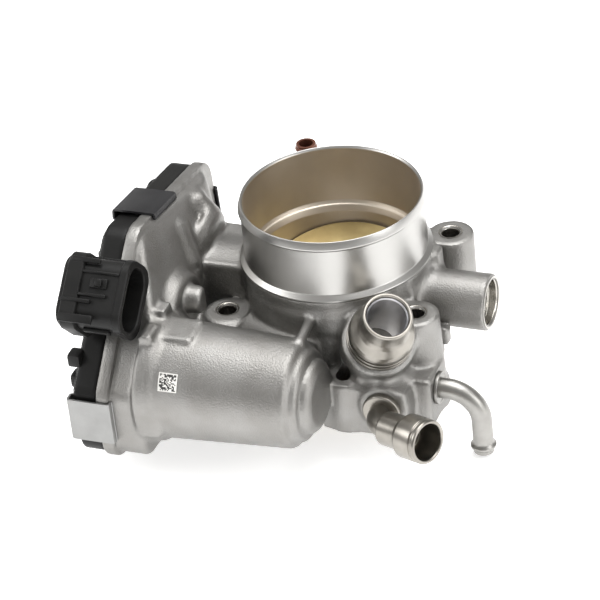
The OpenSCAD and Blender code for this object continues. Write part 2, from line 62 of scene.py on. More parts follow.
def melt(a, b, k):
    """Joins two shapes with a fillet about k wide."""
    h = np.clip(0.5 + 0.5 * (b - a) / k, 0, 1)
    return b + (a - b) * h - k * h * (1 - h)


def carve(a, b, k=0.6):
    """Takes shape b out of a, easing the edge by k."""
    return -melt(-a, b, k)


def cast_bar(at, p0, p1, r0, r1=None, ease=1.0):
    """A round bar or cone between two points, with eased ends."""
    r1 = r0 if r1 is None else r1
    p0, p1 = np.array(p0, float), np.array(p1, float)
    length = float(np.linalg.norm(p1 - p0))
    n = (p1 - p0) / length
    dx, dy, dz = at[0] - p0[0], at[1] - p0[1], at[2] - p0[2]
    t = dx * n[0] + dy * n[1] + dz * n[2]
    rho = np.sqrt(np.maximum(dx * dx + dy * dy + dz * dz - t * t, 0))
    slope = (r1 - r0) / length
    side = (rho - (r0 + slope * t)) / math.sqrt(1 + slope * slope) + ease
    end = np.abs(t - length / 2) - length / 2 + ease
    return np.minimum(np.maximum(side, end), 0) + np.hypot(np.maximum(side, 0), np.maximum(end, 0)) - ease


def cast_block(at, lo, hi, ease=1.5):
    """A box with eased edges."""
    q = [np.abs(c - (a + b) / 2) - (b - a) / 2 + ease for c, a, b in zip(at, lo, hi)]
    out = np.sqrt(sum(np.maximum(v, 0) ** 2 for v in q))
    return out + np.minimum(np.maximum(np.maximum(q[0], q[1]), q[2]), 0) - ease


def cast_slab(flat, along, lo, hi, ease=1.2):
    """A flat outline's distance, carried along one axis between lo and hi, with eased rims."""
    side, end = flat + ease, np.abs(along - (lo + hi) / 2) - (hi - lo) / 2 + ease
    return np.minimum(np.maximum(side, end), 0) + np.hypot(np.maximum(side, 0), np.maximum(end, 0)) - ease


def outline_distance(u, v, points, r):
    """Signed distance to a convex outline with corner radius r about its points."""
    best, inside = None, None
    for (ax, ay), (bx, by) in zip(points, points[1:] + points[:1]):
        ex, ey = bx - ax, by - ay
        wx, wy = u - ax, v - ay
        h = np.clip((wx * ex + wy * ey) / (ex * ex + ey * ey), 0, 1)
        d = (wx - ex * h) ** 2 + (wy - ey * h) ** 2
        left = (ex * wy - ey * wx) >= 0
        best = d if best is None else np.minimum(best, d)
        inside = left if inside is None else inside & left
    return np.where(inside, -1, 1) * np.sqrt(best) - r


def skin(field, lo, step):
    """A closed quad mesh on the zero surface of a sampled field."""
    s = field < 0
    corner = [(i, j, k) for i in (0, 1) for j in (0, 1) for k in (0, 1)]
    n = [d - 1 for d in field.shape]
    cut = lambda a, o: a[o[0]:n[0] + o[0], o[1]:n[1] + o[1], o[2]:n[2] + o[2]]
    count = sum(cut(s, o).astype(np.int8) for o in corner)
    cell = np.argwhere((count > 0) & (count < 8))
    number = np.full(n, -1, np.int64)
    number[tuple(cell.T)] = np.arange(len(cell))
    value = {o: field[tuple((cell + o).T)] for o in corner}
    total, hits = np.zeros((len(cell), 3)), np.zeros(len(cell))
    for a in corner:
        for axis in range(3):
            if a[axis]:
                continue
            b = tuple(v + (i == axis) for i, v in enumerate(a))
            va, vb = value[a], value[b]
            crossing = (va < 0) != (vb < 0)
            t = np.where(crossing, va / np.where(crossing, va - vb, 1), 0)
            p = np.tile(np.array(a, float), (len(cell), 1))
            p[:, axis] += t
            total += p * crossing[:, None]
            hits += crossing
    verts = (cell + total / hits[:, None]) * step + np.array(lo)
    faces = []
    for axis in range(3):
        u, v = (axis + 1) % 3, (axis + 2) % 3
        a = [slice(None)] * 3
        b = [slice(None)] * 3
        a[axis], b[axis] = slice(0, -1), slice(1, None)
        sa, sb = s[tuple(a)], s[tuple(b)]
        for where, flip in (((sa & ~sb), False), ((~sa & sb), True)):
            e = np.argwhere(where)
            e = e[(e[:, u] > 0) & (e[:, v] > 0) & (e[:, u] < n[u]) & (e[:, v] < n[v])]
            q = []
            for du, dv in ((1, 1), (0, 1), (0, 0), (1, 0)):
                c = e.copy()
                c[:, u] -= du
                c[:, v] -= dv
                q.append(number[tuple(c.T)])
            q = np.stack(q[::-1] if flip else q, 1)
            faces.append(q)
    return verts, np.concatenate(faces)


def new_piece(name, verts, faces, crease=30):
    """An object from millimetre corners, shaded smooth except across edges sharper than crease."""
    mesh = bpy.data.meshes.new(name)
    mesh.from_pydata((np.asarray(verts, float) * MM).tolist(), [], [list(map(int, f)) for f in faces])
    mesh.validate()
    piece = bpy.data.objects.new(name, mesh)
    bpy.context.scene.collection.objects.link(piece)
    soften(piece, crease)
    return piece


def outward(piece):
    """Turns every face of a closed piece outward."""
    b = bmesh.new()
    b.from_mesh(piece.data)
    bmesh.ops.recalc_face_normals(b, faces=b.faces)
    b.to_mesh(piece.data)
    b.free()


def joined(shapes):
    """Corners and faces of several shapes as one."""
    verts, faces = [], []
    for v, f in shapes:
        faces += [tuple(k + len(verts) for k in q) for q in f]
        verts += [tuple(p) for p in v]
    return verts, faces


def soften(piece, crease):
    piece.data.polygons.foreach_set("use_smooth", [True] * len(piece.data.polygons))
    piece.data.set_sharp_from_angle(angle=math.radians(crease))


def square_frame(way):
    """Two directions square to a way, and the way itself, as matrix columns."""
    w = np.array(way, float) / np.linalg.norm(way)
    a = np.array([0, 0, 1.0]) if abs(w[2]) < 0.9 else np.array([1.0, 0, 0])
    u = np.cross(a, w)
    u /= np.linalg.norm(u)
    return np.stack([u, np.cross(w, u), w], 1)


def turned(profile, foot=(0, 0, 0), way=(0, 0, 1), steps=96):
    """A lathe-turned solid: a closed profile of (radius, height), anticlockwise as seen with the
    radius to the right, spun about a way through foot. Gives corners and faces."""
    axes = square_frame(way)
    verts, ring = [], []
    for r, h in profile:
        if r < 1e-6:
            ring.append([len(verts)] * steps)
            verts.append(np.array(foot) + axes @ np.array([0, 0, h]))
        else:
            ring.append(list(range(len(verts), len(verts) + steps)))
            for k in range(steps):
                a = 2 * math.pi * k / steps
                verts.append(np.array(foot) + axes @ np.array([r * math.cos(a), r * math.sin(a), h]))
    faces = []
    for a, b in zip(ring, ring[1:] + ring[:1]):
        for k in range(steps):
            m = (k + 1) % steps
            f = [a[k], a[m], b[m], b[k]]
            f = [x for i, x in enumerate(f) if x != f[i - 1]]
            if len(f) > 2:
                faces.append(f)
    return verts, faces


def eased(profile, r=0.3, steps=3):
    """The same profile with each corner turned into a small arc, no larger than its sides allow."""
    out = []
    for i, p in enumerate(profile):
        p = np.array(p, float)
        a, b = np.array(profile[i - 1], float), np.array(profile[(i + 1) % len(profile)], float)
        la, lb = np.linalg.norm(a - p), np.linalg.norm(b - p)
        if p[0] < 1e-6 or min(la, lb) < 1e-6:
            out.append(tuple(p))
            continue
        c = min(r, la * 0.45, lb * 0.45)
        for k in range(steps + 1):
            t = k / steps
            s, e = p + (a - p) / la * c, p + (b - p) / lb * c
            out.append(tuple((1 - t) ** 2 * s + 2 * t * (1 - t) * p + t * t * e))
    return out


def cut_with(piece, shapes, crease=30):
    """Takes turned or boxed tools out of a piece, one after the other."""
    for verts, faces in shapes:
        tool = new_piece("cutter", verts, faces)
        cut = piece.modifiers.new("cut", "BOOLEAN")
        cut.operation, cut.solver, cut.object = "DIFFERENCE", "MANIFOLD", tool
        bpy.context.view_layer.update()
        done = bpy.data.meshes.new_from_object(piece.evaluated_get(bpy.context.evaluated_depsgraph_get()))
        if len(done.polygons) < 4:
            cut.solver = "EXACT"
            bpy.context.view_layer.update()
            done = bpy.data.meshes.new_from_object(
                piece.evaluated_get(bpy.context.evaluated_depsgraph_get()))
        piece.modifiers.remove(cut)
        piece.data = done
        bpy.data.objects.remove(tool)
    soften(piece, crease)
    return piece


def hole(p0, p1, r, steps=48):
    """A round drill from one point to another, as a tool."""
    p0, p1 = np.array(p0, float), np.array(p1, float)
    length = float(np.linalg.norm(p1 - p0))
    return turned([(0, 0), (r, 0), (r, length), (0, length)], p0, p1 - p0, steps)


def box_tool(lo, hi):
    """A plain box, as a tool."""
    v = [(x, y, z) for x in (lo[0], hi[0]) for y in (lo[1], hi[1]) for z in (lo[2], hi[2])]
    return v, [(0, 1, 3, 2), (4, 6, 7, 5), (0, 4, 5, 1), (2, 3, 7, 6), (0, 2, 6, 4), (1, 5, 7, 3)]


def outline_tool(points, r, x0, x1, steps=10):
    """A slab of the case outline between two planes, as a tool."""
    ring = []
    n = len(points)
    for i in range(n):
        (ax, ay), (bx, by), (cx, cy) = points[i - 1], points[i], points[(i + 1) % n]
        a0 = math.atan2(ax - bx, by - ay)
        turn = (math.atan2(bx - cx, cy - by) - a0) % (2 * math.pi)
        for k in range(steps + 1):
            a = a0 + turn * k / steps
            ring.append((bx + r * math.cos(a), by + r * math.sin(a)))
    m = len(ring)
    verts = [(x0, y, z) for y, z in ring] + [(x1, y, z) for y, z in ring]
    faces = [tuple(range(m))[::-1], tuple(range(m, 2 * m))]
    faces += [(k, (k + 1) % m, m + (k + 1) % m, m + k) for k in range(m)]
    return verts, faces


LO, STEP = (-68.5, -88.0, -7.8), 0.8
at = lattice(LO, (59.5, 38.0, 69.5), STEP)
X, Y, Z = at
case_flat = outline_distance(Y, Z, CASE, 0.0)

# body round the bore, and the mounting flange
body = cast_bar(at, (0, 0, 0), (0, 0, 40), 34.2, 34.6, 0.8)
body = melt(body, cast_bar(at, (0, 0, 33), (0, 0, SEAT_Z + 0.5), 34.0, 35.3, 0.5), 3)
flange = np.hypot(X, Y) - 36.0
for sx, sy in ((1, 1), (-1, 1), (-1, -1), (1, -1)):
    lug = outline_distance(X, Y, [(0, 0), (sx * 36.5, sy * 21.5), (sx * 36.4, sy * 21.6)][::sx * sy], 9.9)
    flange = melt(flange, lug, 3)
flange = cast_slab(flange, Z, 0.0, 9.0, 0.8)
body = melt(body, flange, 3)
for (bx, by), top in BOLT_TOPS.items():
    body = melt(body, cast_bar(at, (bx, by, 0), (bx, by, top), 9.6 if top < 40 else 8.4, 8.6, 1.4), 3)

# gear case: a flange for the cover and a pan behind it that tapers towards the top and the back,
# with humps over the gears; its room is taken out last
case = cast_slab(case_flat - 8.2, X, -62.5, -50.0, 2.0)
top_taper = lambda x: (x - X - 0.5 * (Z - 60)) * 0.894
back_taper = lambda x: (x - X - 0.75 * (Y - 13)) * 0.8
case = carve(case, top_taper(-58.4), 2.0)
case = carve(case, back_taper(-52.0), 2.5)
case = melt(case, cast_slab(case_flat - 10.0, X, -66.5, -61.6, 0.8), 1.2)
case = melt(case, cast_bar(at, (-56, 4, 40), (-50.2, 4, 38.5), 15, 11.5, 2.2), 2.5)
case = melt(case, cast_bar(at, (-52, -32, 31.3), (-47, -32, 31.3), 17, 15, 1.6), 2)
case = melt(case, cast_bar(at, (-58.6, 8, 57), (-51.4, 7, 47), 4.2, 4.0, 2.2), 3)
case = melt(case, cast_bar(at, (-58.6, -9, 56), (-50.8, -15, 41), 3.2, 3.0, 1.6), 3)
case = melt(case, cast_bar(at, (-50.8, -15, 41), (-50.2, -17, 34), 3.0, 2.8, 1.6), 2)
case_room = cast_slab(case_flat - 6.0, X, -80, -53, 1.0)
case_room = np.maximum(case_room, -top_taper(-60.8))
case_room = np.maximum(case_room, -back_taper(-54.8))
whole = melt(body, case, 2.4)

# shaft block on the gear side, shaft boss with its mouth on the other
whole = melt(whole, cast_block(at, (-54, -11.6, 6), (-26, 17.2, 41.2), 1.6), 2)
whole = melt(whole, cast_bar(at, (-51, 0, SHAFT_Z), (-26, 0, SHAFT_Z), 11.2, ease=1), 3)
whole = melt(whole, cast_bar(at, (28, 0, SHAFT_Z), (57.9, 0, SHAFT_Z), 10.2, 10.5, 0.9), 4)
whole = melt(whole, cast_block(at, (26, -3, 2), (36, 3, 26), 1.5), 3)

# motor barrel with its stepped end, and the web that carries it
barrel = cast_bar(at, (-52, *MOTOR), (4.6, *MOTOR), 22.0, 19.4, 2.6)
barrel = melt(barrel, cast_bar(at, (2, *MOTOR), (7.6, *MOTOR), 17.6, 16.6, 1.7), 0.8)
barrel = melt(barrel, cast_bar(at, (7, *MOTOR), (11.6, *MOTOR), 14.2, 12.4, 2.4), 0.8)
barrel = melt(barrel, cast_bar(at, (-52, *MOTOR), (-45.2, *MOTOR), 23.6, 22.8, 1.6), 2.5)
whole = melt(whole, barrel, 2.5)
whole = melt(whole, cast_block(at, (-51, -47, 8), (-3, -24, 27), 2), 4)
whole = melt(whole, cast_block(at, (-28, -42, 0), (2, -20, 29), 2), 4)

# pads on the barrel and the case, the slanting rib, the wedge under the case
whole = melt(whole, cast_block(at, (-46.6, -61.6, 34), (-33.6, -47.2, 42.2), 1.5), 1.1)
whole = melt(whole, cast_block(at, (-52, -66, 36), (-46.8, -56.5, 44.6), 1.2), 1.2)
whole = melt(whole, cast_block(at, (-52, -52, 38), (-46.9, -44.5, 46.2), 1.2), 1.2)
whole = melt(whole, cast_block(at, (-51, -76, 8), (-43, -64, 15), 1.5), 2)
whole = melt(whole, cast_bar(at, (1.6, -33, 39), (2.6, -50, 38.4), 1.8, ease=1), 2.2)
whole = melt(whole, cast_bar(at, (-52, -31, 38.5), (-40.5, -31, 38.5), 5.4, 5.0, 1.6), 1.6)

# front lug with the gallery, the outlet block, the vent boss, the rear pipe boss
whole = melt(whole, cast_block(at, (7, -46.6, 0.0), (39.5, -22, 19.5), 1.1), 1.6)
whole = melt(whole, cast_bar(at, (15.4, -40.6, 0), (15.4, -40.6, 20.5), 7.4, ease=0.9), 1.2)
whole = melt(whole, cast_bar(at, ELBOW_FOOT, ELBOW_FOOT + [0, 22, 0], 9.0, ease=1.0), 1.6)
whole = melt(whole, cast_block(at, (28, -38.2, 0.0), (46.1, -21.5, 20.0), 1.2), 1.8)
vent_boss = cast_bar(at, VENT_FOOT - 22 * VENT_WAY, VENT_FOOT, 11.0, 13.5, 1.6)
whole = melt(whole, vent_boss, 4.5)
whole = melt(whole, cast_bar(at, (-26.5, 14, 45), (-26.5, 27.8, 45), 6.6, 6.2, 1), 3)
whole = melt(whole, cast_block(at, (30.5, 3.5, 33), (37.5, 10.5, 47), 1.6), 3)
whole = melt(whole, cast_block(at, (40, -13.5, 19), (45.2, -9, 26), 1.3), 1.6)

# trimmed at the manifold face, which the gear case reaches below; then the hollows that stay as cast:
# round the collar, under the raised back right boss, over the bolt pads, and inside the case
whole = np.maximum(whole, np.minimum(-Z, X + 46.0))
raised = cast_block(at, (22, 9, -9), (60, 45, 12), 1.5)
whole = carve(whole, np.maximum(raised, 35.2 - np.hypot(X, Y)), 1.2)
keep_case = X + 38
keep_vent = cast_bar(at, VENT_FOOT - 30 * VENT_WAY, VENT_FOOT + 2 * VENT_WAY, 16)
room = np.maximum(np.maximum(47.0 - Z, -keep_case), -keep_vent)
whole = carve(whole, room, 0.8)
for (bx, by), top in BOLT_TOPS.items():
    whole = carve(whole, cast_bar(at, (bx, by, top), (bx, by, top + 26), 8.9, ease=0.8), 0.8)
whole = carve(whole, case_room, 0.3)

verts, faces = skin(whole, LO, STEP)
casting = new_piece("housing_casting", verts, faces, 40)
tools = [hole((0, 0, -5), (0, 0, 80), 32.0, 128),
         hole((-54, *MOTOR), (2.4, *MOTOR), 17.5, 64),
         hole((-54, 0, SHAFT_Z), (46, 0, SHAFT_Z), 5.1),
         hole((-54, 0, SHAFT_Z), (-38, 0, SHAFT_Z), 8.0),
         hole((36, 0, SHAFT_Z), (46, 0, SHAFT_Z), 7.5),
         hole((46, 0, SHAFT_Z), (60, 0, SHAFT_Z), 8.6),
         hole(VENT_FOOT - 31 * VENT_WAY, VENT_FOOT + 3 * VENT_WAY, 7.0),
         hole(VENT_FOOT - 6.0 * VENT_WAY, VENT_FOOT + 9 * VENT_WAY, 10.0),
         hole(VENT_FOOT, VENT_FOOT + 9 * VENT_WAY, 12.4),
         hole((15.4, -40.6, 5), (15.4, -40.6, 26), 3.6),
         hole(ELBOW_FOOT - [0, 6, 0], ELBOW_FOOT + [0, 5, 0], 4.2),
         hole((40.2, -30, 12.6), (50, -30, 12.6), 3.75),
         hole((-26.5, 23, 45), (-26.5, 32, 45), 3.75),
         hole((-57.5, 6, -6), (-57.5, 6, 8), 2.5)]
for (bx, by), top in BOLT_TOPS.items():
    tools.append(hole((bx, by, -5), (bx, by, top + 5), 3.4))
    tools.append(turned([(0, -0.5), (3.4, -0.5), (4.3, 0.4), (4.3, 1.4), (0, 1.4)], (bx, by, top), steps=48))
cut_with(casting, tools, 32)


def surface_finish(name, colour, shade, rough, grain_mm, grain, mottle_mm=9.0, metallic=1.0, spread=0.1):
    """Metal whose colour drifts in soft patches and whose surface has a fine grain."""
    made = bpy.data.materials.new(name)
    made.use_nodes = True
    nodes, links = made.node_tree.nodes, made.node_tree.links
    shader = nodes["Principled BSDF"]
    shader.inputs["Metallic"].default_value = metallic
    place = nodes.new("ShaderNodeTexCoord")
    patch = nodes.new("ShaderNodeTexNoise")
    patch.inputs["Scale"].default_value = 1 / (mottle_mm * MM)
    patch.inputs["Detail"].default_value = 5
    links.new(place.outputs["Object"], patch.inputs["Vector"])
    tint = nodes.new("ShaderNodeValToRGB")
    tint.color_ramp.elements[0].position, tint.color_ramp.elements[1].position = 0.35, 0.65
    tint.color_ramp.elements[0].color = (*shade, 1)
    tint.color_ramp.elements[1].color = (*colour, 1)
    links.new(patch.outputs["Fac"], tint.inputs["Fac"])
    links.new(tint.outputs["Color"], shader.inputs["Base Color"])
    dull = nodes.new("ShaderNodeMapRange")
    dull.inputs["To Min"].default_value, dull.inputs["To Max"].default_value = rough - spread, rough + spread
    links.new(patch.outputs["Fac"], dull.inputs["Value"])
    links.new(dull.outputs["Result"], shader.inputs["Roughness"])
    fine = nodes.new("ShaderNodeTexNoise")
    fine.inputs["Scale"].default_value = 1 / (grain_mm * MM)
    fine.inputs["Detail"].default_value = 3
    links.new(place.outputs["Object"], fine.inputs["Vector"])
    bump = nodes.new("ShaderNodeBump")
    bump.inputs["Strength"].default_value = grain
    bump.inputs["Distance"].default_value = grain_mm * MM * 0.5
    links.new(fine.outputs["Fac"], bump.inputs["Height"])
    links.new(bump.outputs["Normal"], shader.inputs["Normal"])
    return made


def wear(piece, finish, body, slot, *nodes):
    """Gives a piece its finish, its body and the CAD nodes it stands for."""
    piece.data.materials.clear()
    piece.data.materials.append(finish)
    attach(piece, body)
    if nodes:
        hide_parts(*nodes)
    return piece


blasted = surface_finish("blasted_aluminium", (0.315, 0.309, 0.298), (0.262, 0.255, 0.243), 0.46, 0.6, 0.6, 14.0,
                         spread=0.03)
wear(casting, blasted, "housing", "cast_body", "throttle_housing")

# ---- 2. turned collar and bore ----
# The same casting where it has been on the lathe: hose collar with its bead and chamfers, the inlet
# counterbore, the step, and the throttle bore down to the manifold face.
collar_profile = [(BORE_R, 2.5), (BORE_R + 1.4, 0.03), (32.4, 0.03), (32.4, SEAT_Z - 0.4), (35.1, SEAT_Z - 0.4),
                  (35.3, 46.9), (33.5, 48.4), (33.35, LIP_Z - 3.8), (34.1, LIP_Z - 3.2), (34.1, LIP_Z - 2.8),
                  (33.2, LIP_Z - 0.1), (32.9, LIP_Z), (32.2, LIP_Z - 0.8), (32.2, SEAT_Z + 1.2),
                  (31.5, SEAT_Z), (31.0, SEAT_Z - 0.3), (BORE_R, 43.8)]
collar = new_piece("inlet_collar", *turned(eased(collar_profile, 0.25), steps=192), 24)
cut_with(collar, [hole((-36, 0, SHAFT_Z), (36, 0, SHAFT_Z), 5.1),
                  hole(VENT_FOOT - 31 * VENT_WAY, VENT_FOOT, 7.0)], 24)


def turning_marks(made, height_mm, strength, axis="Z"):
    """Fine grooves left by the tool, as bands along one axis, laid over a finish."""
    nodes, links = made.node_tree.nodes, made.node_tree.links
    shader = nodes["Principled BSDF"]
    place = nodes.new("ShaderNodeTexCoord")
    stretch = nodes.new("ShaderNodeMapping")
    long, short = 6.0, 1 / (height_mm * MM)
    stretch.inputs["Scale"].default_value = {"X": (short, long, long), "Y": (long, short, long),
                                             "Z": (long, long, short)}[axis]
    links.new(place.outputs["Object"], stretch.inputs["Vector"])
    groove = nodes.new("ShaderNodeTexNoise")
    groove.inputs["Scale"].default_value, groove.inputs["Detail"].default_value = 1.0, 2
    links.new(stretch.outputs["Vector"], groove.inputs["Vector"])
    bump = nodes.new("ShaderNodeBump")
    bump.inputs["Strength"].default_value, bump.inputs["Distance"].default_value = strength, 0.00004
    links.new(groove.outputs["Fac"], bump.inputs["Height"])
    links.new(bump.outputs["Normal"], shader.inputs["Normal"])
    return made


turned_alloy = turning_marks(surface_finish("turned_aluminium", (0.47, 0.463, 0.447), (0.44, 0.434, 0.42), 0.30,
                                          0.4, 0.1, 24.0, spread=0.015), 0.22, 0.25)
round_the_bore = turned_alloy.node_tree.nodes.new("ShaderNodeTangent")
round_the_bore.direction_type, round_the_bore.axis = "RADIAL", "Z"
turned_alloy.node_tree.links.new(round_the_bore.outputs["Tangent"],
                                 turned_alloy.node_tree.nodes["Principled BSDF"].inputs["Tangent"])
turned_alloy.node_tree.nodes["Principled BSDF"].inputs["Anisotropic"].default_value = 0.6
wear(collar, turned_alloy, "housing", "cast_body")
bored_alloy = turning_marks(surface_finish("bored_aluminium", (0.60, 0.54, 0.46), (0.53, 0.475, 0.40), 0.44, 0.4, 0.1,
                                         24.0, spread=0.03), 0.22, 0.25)
collar.data.materials.append(bored_alloy)
for face in collar.data.polygons:
    face.material_index = int(math.hypot(face.center.x, face.center.y) < 32.25 * MM)

# Where the cutter has been in the bolt holes and in the mouth of the shaft boss, a bright ring is left.
rings = [turned(eased([(3.25, top - 5.0), (3.45, top - 5.0), (3.45, top - 0.55), (4.5, top + 0.06), (4.1, top + 0.06),
                       (3.25, top - 0.75)], 0.1), (bx, by, 0), steps=56) for (bx, by), top in BOLT_TOPS.items()]
rings.append(turned(eased([(7.45, 5.6), (8.7, 5.6), (8.7, 11.2), (9.7, 12.0), (9.1, 12.0), (8.25, 11.1), (8.25, 8.4),
                           (7.45, 8.0)], 0.15), (46, 0, SHAFT_Z), (1, 0, 0), 72))
sleeves = new_piece("cut_rings", *joined(rings), 25)
cut_metal = turning_marks(surface_finish("cut_aluminium", (0.50, 0.48, 0.44), (0.40, 0.385, 0.355), 0.24, 0.4, 0.1,
                                       spread=0.05), 0.25, 0.25)
wear(sleeves, cut_metal, "housing", "cast_body")

# A small square of raised cells on the motor barrel stands where the maker's part mark would be. The
# pattern is only noise and carries nothing.
BARREL_R, CELLS = 19.75, 16
mark_verts, mark_faces = [], []
for i in range(CELLS + 1):
    for j in range(CELLS + 1):
        a = math.radians(31.8) + (j / CELLS - 0.5) * 6.2 / BARREL_R
        x = -38.9 + (i / CELLS - 0.5) * 7.0
        for r in (BARREL_R - 0.0459 * x, BARREL_R - 0.0459 * x - 0.4):
            mark_verts.append((x, MOTOR[0] - r * math.cos(a), MOTOR[1] + r * math.sin(a)))
rows, edge_loop = 2 * (CELLS + 1), []
for i in range(CELLS):
    for j in range(CELLS):
        n = i * rows + 2 * j
        mark_faces.append((n, n + rows, n + rows + 2, n + 2))
        mark_faces.append((n + 3, n + rows + 3, n + rows + 1, n + 1))
corners = ([i * rows for i in range(CELLS)] + [CELLS * rows + 2 * j for j in range(CELLS)]
           + [i * rows + 2 * CELLS for i in range(CELLS, 0, -1)] + [2 * j for j in range(CELLS, 0, -1)])
for a, b in zip(corners, corners[1:] + corners[:1]):
    mark_faces.append((b, a, a + 1, b + 1))
mark = new_piece("part_mark", mark_verts, mark_faces)
light_ink = surface_finish("light_cell", (0.74, 0.73, 0.70), (0.62, 0.61, 0.58), 0.55, 0.3, 0.2, metallic=0)
dark_ink = surface_finish("dark_cell", (0.035, 0.034, 0.033), (0.022, 0.021, 0.02), 0.55, 0.3, 0.2, metallic=0)
wear(mark, light_ink, "housing", "cast_body")
mark.data.materials.append(dark_ink)
pick = np.random.default_rng(7).random((CELLS, CELLS)) < 0.6
for i in range(CELLS):
    for j in range(CELLS):
        inside = 0 < i < CELLS - 1 and 0 < j < CELLS - 1
        mark.data.polygons[2 * (i * CELLS + j)].material_index = int(inside and pick[i, j])

# ---- 3. valve ----
# A ground steel shaft through both bosses carries the brass plate, held by two screws. The plate is
# rolled sheet with a fine grain; all of it turns together with the sector gear and its magnet.
sheet_brass = turning_marks(surface_finish("rolled_brass", (0.47, 0.375, 0.185), (0.38, 0.30, 0.145), 0.34, 0.5, 0.1,
                                         spread=0.06), 0.3, 0.12, "Y")
ground_steel = turning_marks(surface_finish("ground_steel", (0.62, 0.62, 0.63), (0.52, 0.52, 0.53), 0.28, 0.4, 0.1,
                                          spread=0.06), 0.3, 0.2, "X")
zinc = surface_finish("zinc_plate", (0.60, 0.60, 0.58), (0.46, 0.47, 0.48), 0.38, 0.6, 0.2)


def dress(finish, *names):
    """Gives engineering nodes that stay as they are a finish."""
    for name in names:
        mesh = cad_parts[name].data
        mesh.materials.clear()
        mesh.materials.append(finish)


dress(sheet_brass, "throttle_plate")
dress(ground_steel, "throttle_shaft", "idler_pin", "motor_shaft", "far_bearing", "gear_bearing", "stop_screw")
dress(zinc, "plate_screws", "motor_screws", "motor_can")

# ---- 4. shaft plug ----
# A pressed steel cup that closes the machined mouth of the shaft boss.
plug = new_piece("shaft_cup", *turned(eased([(0, 48), (8.5, 48), (8.5, 53.6), (8.2, 54), (7.6, 54), (7.35, 53.4),
                                             (7.3, 50.4), (6.4, 49.6), (2.2, 49.3), (1.4, 50.2), (0, 50.4)], 0.3),
                                      (0, 0, SHAFT_Z), (1, 0, 0), 72), 30)
pressed = surface_finish("pressed_steel", (0.66, 0.65, 0.63), (0.52, 0.51, 0.49), 0.24, 0.5, 0.1)
wear(plug, pressed, "housing", "bearing_steel", "shaft_plug")

# ---- 5. reduction gears and motor ----
# Glass-filled gears on a fixed pin, driven by the small brass pinion of a brushed motor that slides
# into the barrel from the gear side. They keep their engineering shapes.
gear_nylon = surface_finish("gear_moulding", (0.80, 0.76, 0.64), (0.70, 0.66, 0.54), 0.45, 0.4, 0.2, metallic=0)
lamination = turning_marks(surface_finish("stacked_sheet", (0.34, 0.34, 0.36), (0.24, 0.24, 0.26), 0.45, 0.4, 0.1),
                           0.25, 0.6, "X")
copper = turning_marks(surface_finish("enamelled_copper", (0.72, 0.30, 0.14), (0.55, 0.20, 0.09), 0.3, 0.5, 0.1),
                       0.35, 0.8, "X")
sintered = surface_finish("sintered_magnet", (0.12, 0.12, 0.13), (0.07, 0.07, 0.08), 0.6, 0.3, 0.4, metallic=0.2)
bronze = surface_finish("sintered_bronze", (0.55, 0.36, 0.18), (0.42, 0.27, 0.13), 0.5, 0.3, 0.4)
spring_wire = surface_finish("spring_wire", (0.40, 0.40, 0.42), (0.28, 0.28, 0.30), 0.32, 0.5, 0.1)
phenolic = surface_finish("brown_moulding", (0.16, 0.11, 0.07), (0.10, 0.07, 0.045), 0.5, 0.4, 0.3, metallic=0)
laminate = surface_finish("board_green", (0.03, 0.20, 0.09), (0.02, 0.14, 0.06), 0.35, 0.6, 0.2, metallic=0)
tin_bronze = surface_finish("tinned_contact", (0.78, 0.70, 0.52), (0.66, 0.56, 0.38), 0.3, 0.5, 0.1)
dress(gear_nylon, "sector_gear", "idler_gear", "spring_sleeve")
dress(lamination, "armature_core")
dress(copper, "armature_windings", "commutator")
dress(sintered, "sensor_magnet", "motor_magnets", "motor_brushes")
dress(bronze, "motor_bushes")
dress(sheet_brass, "motor_pinion")
dress(spring_wire, "return_spring", "wave_washer")
dress(phenolic, "motor_end_cap")
dress(laminate, "sensor_board")
dress(tin_bronze, "motor_leads")

# ---- 6. gear cover and connector ----
# A black glass-filled moulding over the gears: side wall, stepped face with domes over the gear
# wheels, and the six-way connector on a neck. A rubber cord seals it to the case.
rubber = surface_finish("black_rubber", (0.025, 0.025, 0.025), (0.018, 0.018, 0.018), 0.7, 0.3, 0.3, metallic=0)
dress(rubber, "cover_seal", "shaft_seal")
moulded = surface_finish("black_moulding", (0.009, 0.0088, 0.0085), (0.006, 0.006, 0.0058), 0.44, 0.25, 0.22,
                         metallic=0, spread=0.05)
moulded.node_tree.nodes["Principled BSDF"].inputs["Specular IOR Level"].default_value = 0.22
COVER_END = -75.5
MOUTH, MOUTH_TURN = np.array([-53.0, -61.9, 56.9]), math.radians(43)


def from_mouth(x, y, z):
    """Connector measures, x across its thin way, y along its wide way, z back from the mouth."""
    c, s = math.cos(MOUTH_TURN), math.sin(MOUTH_TURN)
    return MOUTH + np.array([-z, y * c - x * s, y * s + x * c])


LO = (-84.0, -87.0, -7.5)
at = lattice(LO, (-65.0, 37.0, 69.5), 0.7)
X, Y, Z = at
case_flat = outline_distance(Y, Z, CASE, 0.0)
cover = cast_slab(case_flat - 8.8, X, COVER_END, -66.5, 0.9)
cover = melt(cover, cast_slab(case_flat - 6.4, X, COVER_END - 1.5, COVER_END + 3, 0.8), 0.8)
cover = melt(cover, cast_bar(at, (COVER_END - 3.4, 0, SHAFT_Z), (-70, 0, SHAFT_Z), 18.6, 19.4, 1.6), 1.2)
cover = melt(cover, cast_bar(at, (COVER_END - 2.9, -32, 31.3), (-70, -32, 31.3), 16.6, 17.2, 1.4), 1.2)
cover = melt(cover, cast_bar(at, (COVER_END - 2.9, *MOTOR), (-70, *MOTOR), 11.6, 12.2, 1.2), 1.2)
cover = melt(cover, cast_bar(at, (COVER_END - 4.9, 16, 50), (-70, 16, 50), 6.0, 6.6, 2.4), 1.0)
